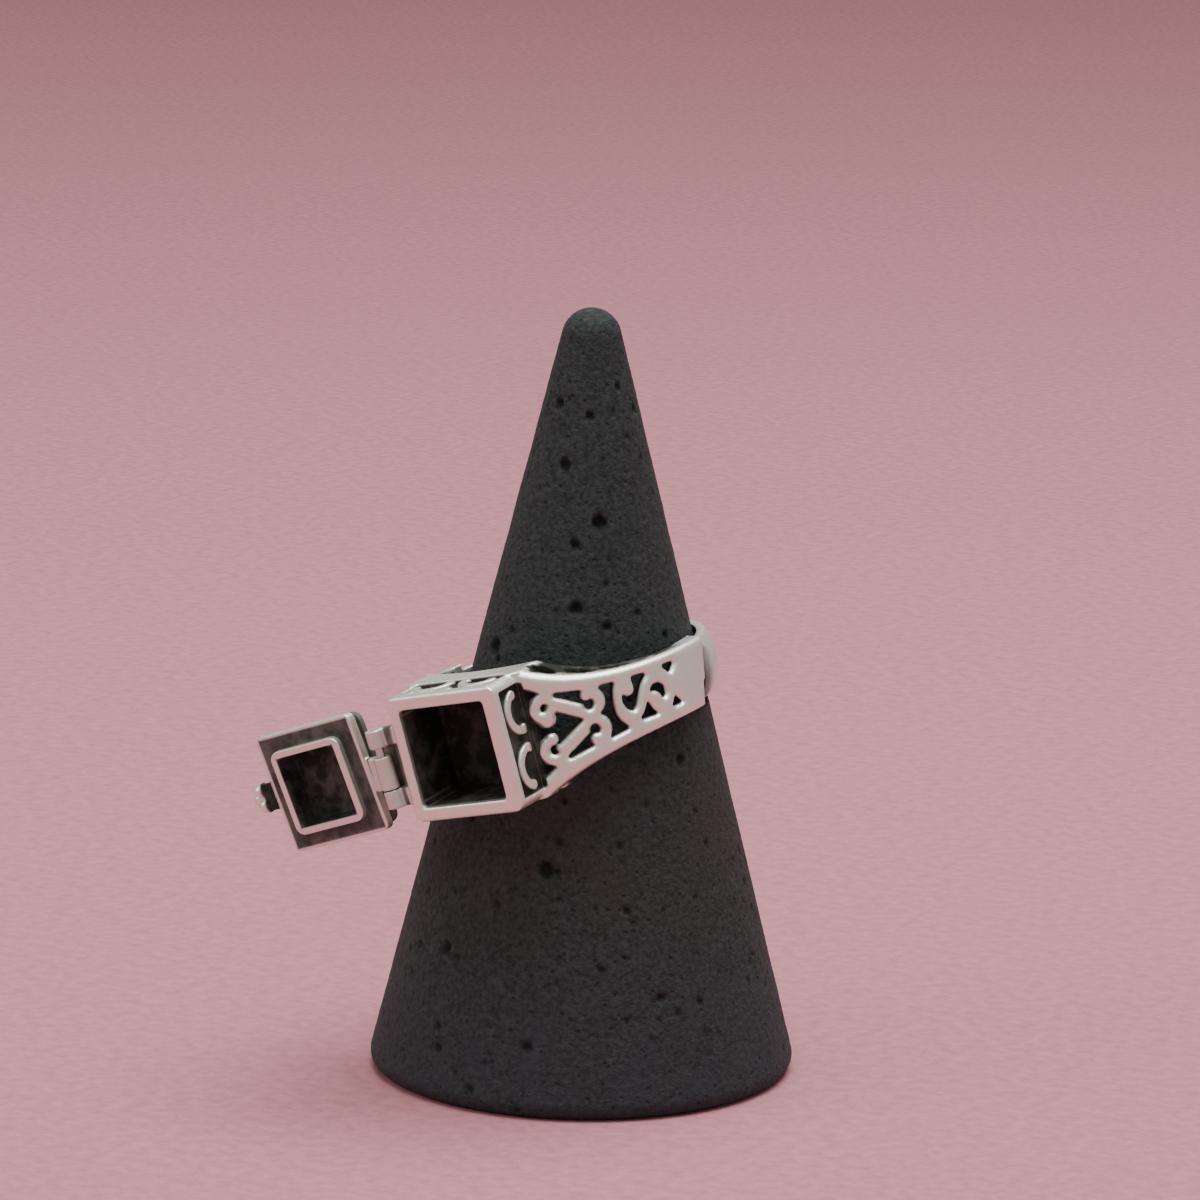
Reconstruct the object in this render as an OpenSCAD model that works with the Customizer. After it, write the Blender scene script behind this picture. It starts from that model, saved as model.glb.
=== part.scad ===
// A poison ring: a square box with a hinged lid, carried by a finger band on pierced scroll shoulders,
// and the plain stone cone that it is shown on. Lengths are in millimetres, +Z is up, and the origin is
// the middle of the cone's foot. The box's mouth faces -Y.
// The ring is drawn in its own frame first: the finger's axis is Z, the mouth faces -Y, and the shoulders
// lie along X. It is then set on the cone, leaning as a loose ring does.

/* [Stand] */
// Diameter of the cone's foot
stand_d = 31.2; // [29:0.1:35]
// Height of the cone
stand_h = 55.4; // [50:0.1:64]
// Radius of the rounded tip
stand_tip_r = 2.2; // [1.2:0.1:3]
// Radius of the foot's rounded edge
stand_edge_r = 1; // [0.4:0.1:2]
// Radius of the stone's largest pits
pit_r = 0.65; // [0.3:0.05:0.9]

/* [Finger band] */
// Inside diameter, the size of the finger
finger_d = 19.8; // [18.4:0.1:20.4]
// Thickness of the band
band_t = 1.1; // [0.8:0.05:1.3]
// Width of the band at the back
band_w = 4.1; // [3:0.1:4.4]
// Radius of the band's domed outside, across its width
band_dome_r = 4.5; // [3:0.1:12]
// Angle at which the finger's hole opens outward past the band, in degrees
flare_angle = 15; // [11:0.5:20]

/* [Box] */
// Width of the square box
box_w = 9.2; // [8.4:0.1:10]
// Wall of the box
box_wall = 1.05; // [0.85:0.05:1.3]
// Height of the rim over the finger
head_h = 5.7; // [5.5:0.1:6.6]
// Depth of the compartment
box_depth = 4.9; // [4:0.1:5.1]
// Set of the compartment towards the hinge
mouth_shift = 0.15; // [0:0.05:0.25]
// Outside corner radius of the box
box_corner_r = 0.8; // [0.4:0.05:1.2]
// Corner radius of the compartment
mouth_corner_r = 0.35; // [0.2:0.05:0.6]

/* [Panels on the box] */
// Plain band between the rim and a panel
panel_top = 0.65; // [0.4:0.05:1]
// Height of a panel, down the wall
panel_h = 2.7; // [2:0.1:2.8]
// Corner post beside a panel
panel_post = 0.75; // [0.5:0.05:1]
// Depth that a panel is sunk
panel_cut = 0.4; // [0.2:0.05:0.5]
// Width of a raised scroll
scroll_w = 0.6; // [0.4:0.05:0.65]

/* [Shoulders] */
// Thickness of the pierced outer plates
shoulder_t = 0.8; // [0.6:0.05:1]
// Thickness of the pierced side galleries
gallery_t = 0.7; // [0.5:0.05:0.9]
// Radius of the outer plates' sweep
shoulder_r = 17.2; // [16.8:0.1:18.2]
// How far the plates pass the middle of the finger
shoulder_end = 1; // [0.6:0.1:2]
// Step from the end of a plate down to the band
shoulder_step = 0.12; // [0.05:0.01:0.4]
// Slant of a plate's end across the band, in degrees
end_slant = 18; // [0:1:25]
// Width of a plate at its end
plate_end_w = 4.7; // [4.5:0.1:5.2]
// Radius of the waisted edges between the box and that end
waist_r = 12.4; // [11.5:0.1:16]

/* [Hinge] */
// Distance from the box's wall to the hinge line
hinge_reach = 1.38; // [1.1:0.02:1.8]
// Outside radius of the knuckles
knuckle_r = 0.65; // [0.55:0.01:0.75]
// Radius of the hinge pin
pin_r = 0.3; // [0.22:0.01:0.35]
// Radial clearance of the pin in the lid's knuckle
pin_fit = 0.04; // [0.02:0.01:0.08]
// Length of the whole hinge
hinge_l = 5.8; // [5:0.1:7]
// Length of the space between the box's two knuckles
hinge_gap_l = 3.1; // [2.4:0.1:3.2]
// Play of the lid's knuckle in that space
hinge_play = 0.7; // [0.2:0.05:0.8]
// Set of the hinge below the box's middle
hinge_set = 0.4; // [0:0.05:0.5]
// Space between the box's wall and the squared part of the lid's knuckle
block_fit = 0.28; // [0.2:0.02:0.4]
// Rise of that squared part over the hinge line, on the lip's side
block_rise = 0.3; // [0.1:0.05:0.35]
// Space between the lid's knuckle and the plate behind it
back_fit = 0.1; // [0.06:0.01:0.2]
// Thickness of the hinge's leaves and of the plate on the box's wall
leaf_t = 0.45; // [0.3:0.05:0.6]
// Lean of the hinge line from the box's edge, in degrees
hinge_lean = 3.5; // [0:0.5:4]
// How far the lid is swung open, in degrees
lid_open = 181.5; // [0:0.5:190]

/* [Lid] */
// Set-back of the lid's plate from the box's sides
lid_inset = 0.25; // [0:0.05:0.5]
// Thickness of the lid's plate
lid_t = 0.75; // [0.5:0.05:1]
// Corner radius of the lid
lid_corner_r = 0.45; // [0.3:0.05:1]
// Least space between the lip and the compartment's walls
lip_fit = 0.1; // [0.06:0.02:0.4]
// Wall of the lip
lip_t = 0.55; // [0.3:0.05:0.7]
// Height of the lip
lip_h = 0.65; // [0.4:0.05:1]
// Outside corner radius of the lip
lip_corner_r = 0.75; // [0.4:0.05:1.2]
// Set-back of the dark neck behind the plate
neck_inset = 0.45; // [0.3:0.05:0.7]
// Height of the neck
neck_h = 0.55; // [0.3:0.05:0.8]
// Height of the cushion's straight side
cushion_side = 0.5; // [0.3:0.05:0.8]
// Rise of the cushion's domed top
cushion_rise = 0.7; // [0.4:0.05:1]
// Set-back of the cushion from the plate's edge
cushion_inset = 0.15; // [0.05:0.05:0.4]
// Space between the closed lid and the rim
lid_gap = 0.05; // [0.03:0.01:0.15]

/* [Catch] */
// Width of the thumb tab
tab_w = 2; // [1.2:0.1:2.4]
// Length of the thumb tab
tab_l = 1.15; // [0.8:0.05:1.6]
// Thickness of the thumb tab
tab_t = 0.5; // [0.35:0.05:0.7]
// Radius of the beads on the tab's end
bead_r = 0.42; // [0.28:0.01:0.5]

/* [Set on the cone] */
// Lean of the finger's axis to the side, in degrees
lean_side = 13.5; // [12.5:0.1:14.5]
// Dip of the box towards the front, in degrees
lean_front = 6.55; // [6:0.05:7.2]
// How much smaller than the band's hole the cone is at the band's middle
seat_slack = 1.26; // [1.24:0.01:1.5]
// Shift of the band's middle to the left of the cone's axis
shift_left = 0.92; // [0.88:0.01:0.98]
// Shift of the band's middle to the front of the cone's axis
shift_front = 1; // [0.95:0.01:1.06]

/* [Hidden] */
$fn = 96;

STONE = "#2e2e30";
SILVER = "#b9aea3";
DARK_SILVER = "#6d6562";

// The cone's wall touches the tip's ball and ends on the foot's circle.
foot_r = stand_d / 2;
tip_z = stand_h - stand_tip_r;
cone_angle = acos(stand_tip_r / norm([foot_r, tip_z])) - atan2(tip_z, foot_r);
edge_x = foot_r - stand_edge_r * tan(cone_angle) - stand_edge_r / cos(cone_angle);
arc_steps = 12;

// Pits: the angle round the cone, the share of its height, the share of the largest pit's radius.
PITS = [
    [-51, 0.738, 1], [-83, 0.807, 0.8], [-73, 0.309, 1], [-119, 0.57, 1],
    [-66, 0.632, 0.9], [-103, 0.883, 0.75], [-60, 0.87, 0.6], [-69, 0.71, 0.65],
    [-108, 0.193, 0.8], [-14, 0.437, 0.75], [-75, 0.09, 0.65], [-48, 0.61, 0.55],
    [-20, 0.904, 0.45], [-90, 0.26, 0.5], [30, 0.76, 0.8], [75, 0.3, 0.9],
    [120, 0.66, 0.7], [150, 0.22, 0.8], [-160, 0.4, 0.7], [-35, 0.15, 0.55]
];

finger_r = finger_d / 2;
rim_y = finger_r + head_h;
floor_t = 0.6;
half_box = box_w / 2;
mouth_w = box_w - 2 * box_wall;
band_r = finger_r + band_t;
side_x = band_r + shoulder_step;
weld = 0.1;

// The waist's circle passes the box's corner and the end of the plate.
waist_chord = norm([side_x - half_box, plate_end_w / 2 - half_box]);
waist_rise = sqrt(waist_r * waist_r - waist_chord * waist_chord / 4);
waist_x = (side_x + half_box) / 2 + waist_rise * (half_box - plate_end_w / 2) / waist_chord;
waist_z = (half_box + plate_end_w / 2) / 2 + waist_rise * (side_x - half_box) / waist_chord;

// The scroll work lies on the chord from the box's wall to the end of the plate.
sweep_x = side_x - shoulder_r;
start_y = shoulder_end - sqrt(shoulder_r * shoulder_r - (half_box - sweep_x) * (half_box - sweep_x));
plate_l = norm([side_x - half_box, shoulder_end - start_y]);
plate_angle = atan2(shoulder_end - start_y, side_x - half_box);
// One fifteenth of the plate's length, the measure of the scroll work
m = plate_l / 15;

pin_x = half_box + hinge_reach;
outer_knuckle_l = (hinge_l - hinge_gap_l) / 2;
lid_knuckle_l = hinge_gap_l - hinge_play;
// The loose lid hangs at the lower end of its play.
lid_drop = hinge_play / 2 - 0.05;
lid_w = box_w - 2 * lid_inset;
lip_w = mouth_w - 2 * (lid_drop + lip_fit);
cushion_w = lid_w - 2 * cushion_inset;
neck_w = lid_w - 2 * neck_inset;
lid_back = lid_t + neck_h + cushion_side + cushion_rise;
cushion_r = (cushion_w * cushion_w / 4 + cushion_rise * cushion_rise) / (2 * cushion_rise);

seat_z = (foot_r - finger_r + seat_slack) / tan(cone_angle);

// Shapes used by several pieces

module round_square(w, r) {
    square([w, w - 2 * r], center = true);
    square([w - 2 * r, w], center = true);
    for (x = [-1, 1], y = [-1, 1])
        translate([x * (w / 2 - r), y * (w / 2 - r)])
            circle(r);
}

// A round-cornered square block whose axis is Y, from y to y + l
module block(w, r, y, l) {
    translate([0, y + l, 0])
        rotate([90, 0, 0])
            linear_extrude(l)
                round_square(w, r);
}

// A stroke along an arc, from angle a to angle b
module arc_stroke(r, w, a, b) {
    reach = 2 * (r + w);
    steps = ceil((b - a) / 60);
    intersection() {
        difference() {
            circle(r + w / 2);
            circle(r - w / 2);
        }
        polygon(concat([[0, 0]],
            [for (i = [0:steps]) reach * [cos(a + (b - a) * i / steps), sin(a + (b - a) * i / steps)]]));
    }
}

module line_stroke(p, q, w) {
    translate(p)
        rotate(atan2(q[1] - p[1], q[0] - p[0]))
            translate([0, -w / 2])
                square([norm(q - p), w]);
}

// A filed slot: straight sides and three-sided ends
module slot(l, w) {
    polygon([for (s = [-1, 1], p = [[-0.5, 0.5], [0, 0.25], [0, -0.25], [-0.5, -0.5]])
        s * [l / 2 + p[0] * w, p[1] * w]]);
}

// The stand, turned from one stone
module cone_stand() {
    color(STONE)
        difference() {
            rotate_extrude()
                polygon(concat([[0, 0]],
                    [for (i = [0:arc_steps])
                        let (t = -90 + (90 + cone_angle) * i / arc_steps)
                            [edge_x + stand_edge_r * cos(t), stand_edge_r * (1 + sin(t))]],
                    [for (i = [0:arc_steps])
                        let (t = cone_angle + (90 - cone_angle) * i / arc_steps)
                            [stand_tip_r * cos(t), tip_z + stand_tip_r * sin(t)]]));
            for (p = PITS)
                rotate([0, 0, p[0]])
                    translate([foot_r - p[1] * stand_h * tan(cone_angle) + 0.3 * p[2] * pit_r, 0, p[1] * stand_h])
                        sphere(p[2] * pit_r);
        }
}

// The ring, in its own frame

// What lies inside both shoulder sweeps, cut off under the rim and at the plates' slanted ends
module head_block(r, half_h, waist, end_y) {
    difference() {
        intersection() {
            translate([sweep_x, shoulder_end, -half_h])
                cylinder(r = r, h = 2 * half_h);
            translate([-sweep_x, shoulder_end, -half_h])
                cylinder(r = r, h = 2 * half_h);
            translate([-2 * side_x, end_y, 0])
                rotate([-end_slant, 0, 0])
                    translate([0, -3 * rim_y, -box_w])
                        cube([4 * side_x, 3 * rim_y, 2 * box_w]);
            translate([-2 * side_x, panel_top / 2 - rim_y, -box_w])
                cube([4 * side_x, 2 * rim_y, 2 * box_w]);
        }
        for (s = [-1, 1], t = [-1, 1])
            translate([s * waist_x, 2 * side_x, t * waist_z])
                rotate([90, 0, 0])
                    cylinder(r = waist, h = 4 * side_x + rim_y);
    }
}

// The scroll work is drawn in fifteenths of the plate's length. x runs from the box to the end of the
// plate, and y is the height above its middle line.

// An S scroll: a curl beside the box with a round tip, a stroke, and a hook that meets its twin and
// turns back on itself in a round lobe
module scroll(tip_r) {
    difference() {
        union() {
            translate([1.38, 1.5]) {
                arc_stroke(0.72, 0.8, 45, 262);
                translate([-0.02, -0.78])
                    circle(tip_r);
            }
            line_stroke([1.7, 1.85], [4.4, 0.26], 1.02);
            translate([4.7, 1])
                arc_stroke(0.55, 1.02, -125, 115);
        }
        translate([4.45, 0.94])
            circle(0.38);
    }
    translate([4.4, 1.6])
        circle(0.43);
}

// The openings between the scrolls of one shoulder
module shoulder_openings() {
    difference() {
        polygon([[-0.7, 3.6], [0.2, 3.25], [1, 2.8], [2, 2.42], [3, 2.22], [4.3, 1.98], [5.2, 1.9],
            [6.7, 1.85], [6.42, 1.2], [6.28, 0.4], [6.28, -0.4], [6.5, -0.95], [7.1, -1.65], [5.3, -1.92],
            [4.3, -1.98], [3, -2.22], [2, -2.42], [1, -2.8], [0.2, -3.25], [-0.7, -3.6]]);
        scroll(0.62);
        mirror([0, 1])
            scroll(0.46);
    }
    difference() {
        polygon([[7.08, 1], [7.0, 0.2], [7.25, -0.35], [7.7, -0.6], [8.05, -0.3], [8.45, 0.5], [8.8, 1.05],
            [9.5, 1.66], [7.98, 1.76]]);
        translate([7.62, 1])
            circle(0.52);
        polygon([[6.9, 1], [7.62, 0.9], [8.14, 1], [8.1, 1.5], [7.9, 2], [6.9, 2]]);
    }
    polygon([[7.85, -1.4], [8.4, -1.08], [8.72, -0.7], [9.02, -0.25], [9.3, -0.95], [9.7, -1.45]]);
    polygon([[9.3, 0.28], [9.75, 0.66], [10.3, 0.64], [10.75, 0.32], [10.75, -0.3], [10.4, -0.58],
        [10.18, -0.02], [9.82, 0.22]]);
    polygon([[10.85, 1.7], [12.2, 1.66], [11.48, 0.95]]);
    polygon([[10.95, -1.4], [12.15, -1.4], [11.55, -0.68]]);
}

module on_shoulder() {
    translate([half_box, start_y, 0])
        rotate([90, 0, plate_angle])
            children();
}

// The openings of one side gallery, seen along the finger's axis.
// Each slot: its place as shares of the side's reach, its length and width in fifteenths, its angle.
GALLERY_SLOTS = [[0.47, 0.92, 1.8, 0.9, 34], [0.62, 0.755, 1.7, 0.65, 44], [0.745, 0.58, 1.5, 0.42, 54]];

module gallery_openings() {
    for (g = GALLERY_SLOTS)
        translate([g[0] * side_x, -g[1] * side_x])
            rotate(g[4])
                slot(g[2] * m, g[3] * m);
}

module head_shell() {
    difference() {
        head_block(shoulder_r, half_box, waist_r, shoulder_end);
        head_block(shoulder_r - shoulder_t, half_box - gallery_t, waist_r + gallery_t, 2 * shoulder_end);
        for (s = [0, 1])
            mirror([s, 0, 0]) {
                on_shoulder()
                    translate([0, 0, -1.6 * shoulder_t])
                        scale(m)
                            linear_extrude(5)
                                shoulder_openings();
                translate([0, 0, -half_box - 1])
                    linear_extrude(box_w + 2)
                        gallery_openings();
            }
    }
}

// A sunk panel, with its scrolls left standing, cut into the wall on +X
module panel() {
    reach = half_box - panel_post;
    translate([half_box - panel_cut, 0, 0])
        rotate([90, 0, 90])
            linear_extrude(panel_cut + weld)
                translate([-rim_y + panel_top, 0])
                    difference() {
                        translate([0, -reach])
                            square([panel_h, 2 * reach]);
                        for (s = [0, 1])
                            mirror([0, s])
                                panel_scroll(reach);
                    }
}

// One C scroll in the half of a panel above its middle. x runs down from the panel's top edge.
module panel_scroll(reach) {
    r = reach * 0.36;
    translate([r + 1.1 * scroll_w, reach * 0.52]) {
        arc_stroke(r, scroll_w, 112, 274);
        for (a = [112, 274])
            rotate(a)
                translate([r - 0.1 * scroll_w, 0])
                    circle(scroll_w * 0.6);
    }
}

module band() {
    intersection() {
        rotate_extrude()
            intersection() {
                translate([finger_r - weld, -band_w / 2])
                    square([band_t + weld, band_w]);
                translate([band_r - band_dome_r, 0])
                    circle(band_dome_r);
            }
        translate([-2 * band_r, shoulder_end - 2.2, -band_w])
            cube([4 * band_r, 4 * band_r, 2 * band_w]);
    }
}

module at_hinge() {
    translate([-pin_x, -rim_y, 0])
        rotate([0, -hinge_lean, 0])
            translate([0, 0, -hinge_set])
                children();
}

module box_hinge() {
    // The plate on the wall
    translate([-half_box - leaf_t, -rim_y + leaf_t, -hinge_set - hinge_l / 2])
        cube([leaf_t + weld, 3.5 * leaf_t, hinge_l]);
    at_hinge() {
        // The plate behind the knuckles
        translate([-knuckle_r / 2, knuckle_r + back_fit, -hinge_l / 2 + weld])
            cube([hinge_reach + knuckle_r / 2 + 3 * weld, leaf_t, hinge_l - 2 * weld]);
        for (s = [-1, 1])
            translate([0, 0, s * (hinge_gap_l + outer_knuckle_l) / 2]) {
                cylinder(r = knuckle_r, h = outer_knuckle_l, center = true);
                translate([0, leaf_t / 4, -outer_knuckle_l / 2])
                    cube([hinge_reach + 3 * weld, leaf_t, outer_knuckle_l]);
            }
    }
}

// The finger's hole, flared past the band's edges so that the head clears a cone or a knuckle
module finger_hole() {
    cylinder(r = finger_r, h = 3 * box_w, center = true);
    for (s = [0, 1])
        mirror([0, 0, s])
            translate([0, 0, band_w / 2])
                cylinder(r1 = finger_r - weld, r2 = finger_r - weld + box_w * tan(flare_angle), h = box_w);
}

module ring_body() {
    difference() {
        union() {
            head_shell();
            block(box_w, box_corner_r, -rim_y, box_depth + floor_t);
            band();
            box_hinge();
        }
        // The compartment
        translate([-mouth_shift, 0, 0])
            block(mouth_w, mouth_corner_r, -rim_y - 1, box_depth + 1);
        finger_hole();
        for (a = [0, 90, -90])
            rotate([0, a, 0])
                panel();
        at_hinge()
            cylinder(r = pin_r, h = 2 * hinge_l, center = true);
    }
}

module pin_body() {
    at_hinge()
        cylinder(r = pin_r, h = hinge_l, center = true);
}

// The lid, closed on the box

module thumb_tab() {
    x = lid_w / 2;
    y = -rim_y - lid_gap - lid_t / 2;
    translate([x - weld, y - tab_t / 2, -tab_w / 2])
        cube([tab_l + weld, tab_t, tab_w]);
    for (s = [-1, 0, 1])
        translate([x + tab_l + bead_r * (1.15 - 0.6 * abs(s)), y, s * tab_w * 0.27])
            sphere(bead_r);
}

module lid_shell() {
    face = -rim_y - lid_gap;
    hollow_w = lip_w - 2 * lip_t;
    difference() {
        union() {
            block(lid_w, lid_corner_r, face - lid_t, lid_t);
            block(neck_w, lid_corner_r, face - lid_t - neck_h - weld, neck_h + 2 * weld);
            block(lip_w, lip_corner_r, face - weld, lip_h + weld);
            // The cushion: a block under two crossed barrels
            intersection() {
                block(cushion_w, lid_corner_r * 2, face - lid_back, cushion_side + cushion_rise);
                translate([0, face - lid_back + cushion_r, 0])
                    cylinder(r = cushion_r, h = box_w, center = true);
                translate([0, face - lid_back + cushion_r, 0])
                    rotate([0, 90, 0])
                        cylinder(r = cushion_r, h = box_w, center = true);
            }
            thumb_tab();
        }
        // The hollow under the cushion
        block(hollow_w, lip_corner_r - lip_t / 2, face - lid_t - neck_h, lid_t + neck_h + lip_h + 1);
    }
}

module lid_body() {
    translate([0, 0, -lid_drop])
        lid_shell();
    difference() {
        at_hinge()
            translate([0, 0, -lid_drop]) {
                cylinder(r = knuckle_r, h = lid_knuckle_l, center = true);
                translate([0, leaf_t / 4 - lid_t, -lid_knuckle_l / 2])
                    cube([hinge_reach - block_fit, lid_t - leaf_t / 4 + block_rise, lid_knuckle_l]);
                translate([0, leaf_t / 4 - lid_t, -lid_knuckle_l / 2])
                    cube([hinge_reach + 0.6, leaf_t, lid_knuckle_l]);
            }
        at_hinge()
            cylinder(r = pin_r + pin_fit, h = 2 * hinge_l, center = true);
    }
}

// The ring set on the cone

module on_cone() {
    translate([-shift_left, -shift_front, seat_z])
        rotate([lean_front, 0, 0])
            rotate([0, -lean_side, 0])
                children();
}

module ring() {
    color(SILVER)
        on_cone()
            ring_body();
}

module hinge_pin() {
    color(DARK_SILVER)
        on_cone()
            pin_body();
}

module lid() {
    color(DARK_SILVER)
        on_cone()
            at_hinge()
                rotate([0, 0, -lid_open])
                    translate([0, 0, hinge_set])
                        rotate([0, hinge_lean, 0])
                            translate([pin_x, rim_y, 0])
                                lid_body();
}

cone_stand();
ring();
hinge_pin();
lid();
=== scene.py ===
# %% [markdown]
# # A poison ring on its display cone
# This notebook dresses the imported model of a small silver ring. Its square box has a hinged lid, pierced
# scroll shoulders carry the box on a plain band, and a dark stone cone holds the ring up.
# Every length below is in metres, unless its name ends in `_mm` or `_MM`.

# %% Load the frame
import math
import random

import bpy
from mathutils import Matrix, Vector, kdtree, noise


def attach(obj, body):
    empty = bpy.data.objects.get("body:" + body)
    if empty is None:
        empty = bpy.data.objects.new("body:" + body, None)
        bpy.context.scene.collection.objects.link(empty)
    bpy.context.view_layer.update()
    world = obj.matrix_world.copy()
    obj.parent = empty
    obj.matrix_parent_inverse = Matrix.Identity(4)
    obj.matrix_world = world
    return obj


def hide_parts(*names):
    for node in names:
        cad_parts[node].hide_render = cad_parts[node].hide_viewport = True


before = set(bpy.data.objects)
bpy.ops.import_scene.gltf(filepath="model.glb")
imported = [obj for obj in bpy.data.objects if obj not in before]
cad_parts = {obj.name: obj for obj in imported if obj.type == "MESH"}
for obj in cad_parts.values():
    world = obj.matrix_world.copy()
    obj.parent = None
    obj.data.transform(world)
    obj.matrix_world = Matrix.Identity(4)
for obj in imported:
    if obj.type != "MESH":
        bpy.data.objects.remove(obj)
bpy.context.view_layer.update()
MM = 0.001

# %% [markdown]
# ## The ring's own frame
# The ring leans on its cone, so nothing on it is square to the world. A jeweller turns the work in the
# hand until a face is level. This step does the same: one matrix takes a point from the ring's frame,
# where the finger's axis is Z and the mouth of the box faces -Y, into the world, and its inverse takes
# it back.

# %% The ring's place on the cone
RING_CENTRE = Vector((-0.92, -1.0, 27.773)) * MM
LEAN_FRONT, LEAN_SIDE = math.radians(6.55), math.radians(-13.5)
RING_TO_WORLD = (Matrix.Translation(RING_CENTRE)
                 @ Matrix.Rotation(LEAN_FRONT, 4, "X") @ Matrix.Rotation(LEAN_SIDE, 4, "Y"))
WORLD_TO_RING = RING_TO_WORLD.inverted()
print("the ring's middle in mm:", [round(v / MM, 2) for v in RING_CENTRE])

# %% The box and the shoulders in that frame
RIM_Y_MM = -15.6
FLOOR_Y_MM = RIM_Y_MM + 4.9
HALF_BOX_MM = 4.6
HALF_MOUTH_MM, MOUTH_SHIFT_MM = 3.55, 0.15
# Each shoulder's outer face is part of a cylinder that ends square at the band's side.
SIDE_X_MM = 11.12
SWEEP_R_MM, SWEEP_END_MM = 17.2, 1.0
print("the box is", 2 * HALF_BOX_MM, "mm wide and its mouth", 2 * HALF_MOUTH_MM)

# %% [markdown]
# ## Working on one object at a time
# An operator acts on everything that is selected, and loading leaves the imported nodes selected. This
# helper clears the selection, then selects one object and makes it active.

# %% Selection and modifier helpers
def only(obj):
    """Selects this object alone, in object mode."""
    if bpy.context.object and bpy.context.object.mode != "OBJECT":
        bpy.ops.object.mode_set(mode="OBJECT")
    bpy.ops.object.select_all(action="DESELECT")
    obj.select_set(True)
    bpy.context.view_layer.objects.active = obj


def finish_with(obj, kind, **settings):
    """Adds one modifier with these settings and applies it at once."""
    modifier = obj.modifiers.new(kind.title(), kind)
    for key, value in settings.items():
        setattr(modifier, key, value)
    only(obj)
    bpy.ops.object.modifier_apply(modifier=modifier.name)


def report(obj):
    """Prints how heavy a mesh is and the box it fills, in millimetres."""
    lo = [min(v.co[i] for v in obj.data.vertices) / MM for i in range(3)]
    hi = [max(v.co[i] for v in obj.data.vertices) / MM for i in range(3)]
    triangles = sum(len(p.vertices) - 2 for p in obj.data.polygons)
    print(obj.name, triangles, "triangles, from", [round(x, 2) for x in lo], "to", [round(x, 2) for x in hi])


# %% [markdown]
# ## Silver as it is cast
# A real ring like this is cast in wax-soft forms and then tumbled, so no edge on it is sharp. Edges could
# be bevelled one by one, but pierced work has hundreds of short edges that meet at odd angles. Instead a
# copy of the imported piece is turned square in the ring's frame, rebuilt on a fine grid of little squares
# (the Remesh modifier's voxels), and relaxed with a few strokes of smoothing, as tumbling would. Flat
# places are thinned out again afterwards, since they need few faces. Between the rebuilding and the
# smoothing, a `file_rule` moves the points, as a file takes down an edge.

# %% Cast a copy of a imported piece
SEAM_MM = 0.0005


def cast_copy(node, name, to_square, file_rule, grain_mm, rounds, keep):
    """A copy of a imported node, turned square, then cast, filed, tumbled and thinned."""
    piece = bpy.data.objects.new(name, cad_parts[node].data.copy())
    bpy.context.scene.collection.objects.link(piece)
    piece.data.transform(to_square)
    piece.data.materials.clear()
    only(piece)
    bpy.ops.object.mode_set(mode="EDIT")
    bpy.ops.mesh.select_all(action="SELECT")
    bpy.ops.mesh.remove_doubles(threshold=SEAM_MM * MM)
    bpy.ops.object.mode_set(mode="OBJECT")
    finish_with(piece, "REMESH", mode="VOXEL", voxel_size=grain_mm * MM, adaptivity=0)
    print(name, "is cast with", len(piece.data.vertices), "points")
    points = file_rule([vertex.co / MM for vertex in piece.data.vertices])
    for vertex, point in zip(piece.data.vertices, points):
        vertex.co = point * MM
    finish_with(piece, "SMOOTH", factor=0.5, iterations=rounds)
    finish_with(piece, "DECIMATE", ratio=keep)
    only(piece)
    bpy.ops.object.shade_smooth()
    return piece


# %% Soft steps, and a value stored on a piece
def blend_step(value, low, high):
    """0 below low, 1 above high, and smooth between."""
    t = min(1, max(0, (value - low) / (high - low)))
    return t * t * (3 - 2 * t)


def inside(value, half, soft):
    """1 where |value| is well under half, 0 outside."""
    return 1 - blend_step(abs(value), half - soft, half)


def paint_tarnish_and_shade(piece, rule):
    """Stores how dark the silver is at each point, from tarnish and painted shade, by a rule on the point's
    place in millimetres.
    """
    layer = piece.data.attributes.new("tarnish_and_shade", "FLOAT", "POINT")
    for vertex, item in zip(piece.data.vertices, layer.data):
        item.value = rule(vertex.co / MM)
    black = sum(item.value > 0.5 for item in layer.data)
    print(piece.name, "is more black than bright at", black, "of", len(layer.data), "points")


# %% [markdown]
# ## Edges filed round
# The rails of the shoulders and the rim of the box shine because they are filed well round: a round edge
# always turns some part of itself to the light. Where two faces meet, a point's depth under each face
# tells whether it lies outside the round, and such a point is pulled in onto it.

# %% Where a point lies on a shoulder
# A shoulder is waisted: its width follows a circle beside it.
WAIST_R_MM, WAIST_X_MM, WAIST_Z_MM = 12.4, 11.75, 14.74


def rail_edge(x):
    """Half of a shoulder's width at x, where its waisted outline passes."""
    return WAIST_Z_MM - math.sqrt(max(0, WAIST_R_MM ** 2 - (x - WAIST_X_MM) ** 2))


def under_sweep(p):
    """The way from p straight into its shoulder, and p's depth under the shoulder's outer face."""
    side = math.copysign(1, p.x)
    to_middle = Vector((side * (SIDE_X_MM - SWEEP_R_MM) - p.x, SWEEP_END_MM - p.y, 0))
    return to_middle.normalized(), SWEEP_R_MM - to_middle.length


print("a shoulder is", round(2 * rail_edge(HALF_BOX_MM), 2), "mm wide at the box and",
      round(2 * rail_edge(SIDE_X_MM), 2), "at the band")

# %% File the edges where two faces meet
RAIL_ROUND_MM, RIM_ROUND_MM, MOUTH_ROUND_MM = 0.42, 0.3, 0.2
REACH_OUT_MM = 0.12
INTO_BOX = Vector((0, 1, 0))


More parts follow.
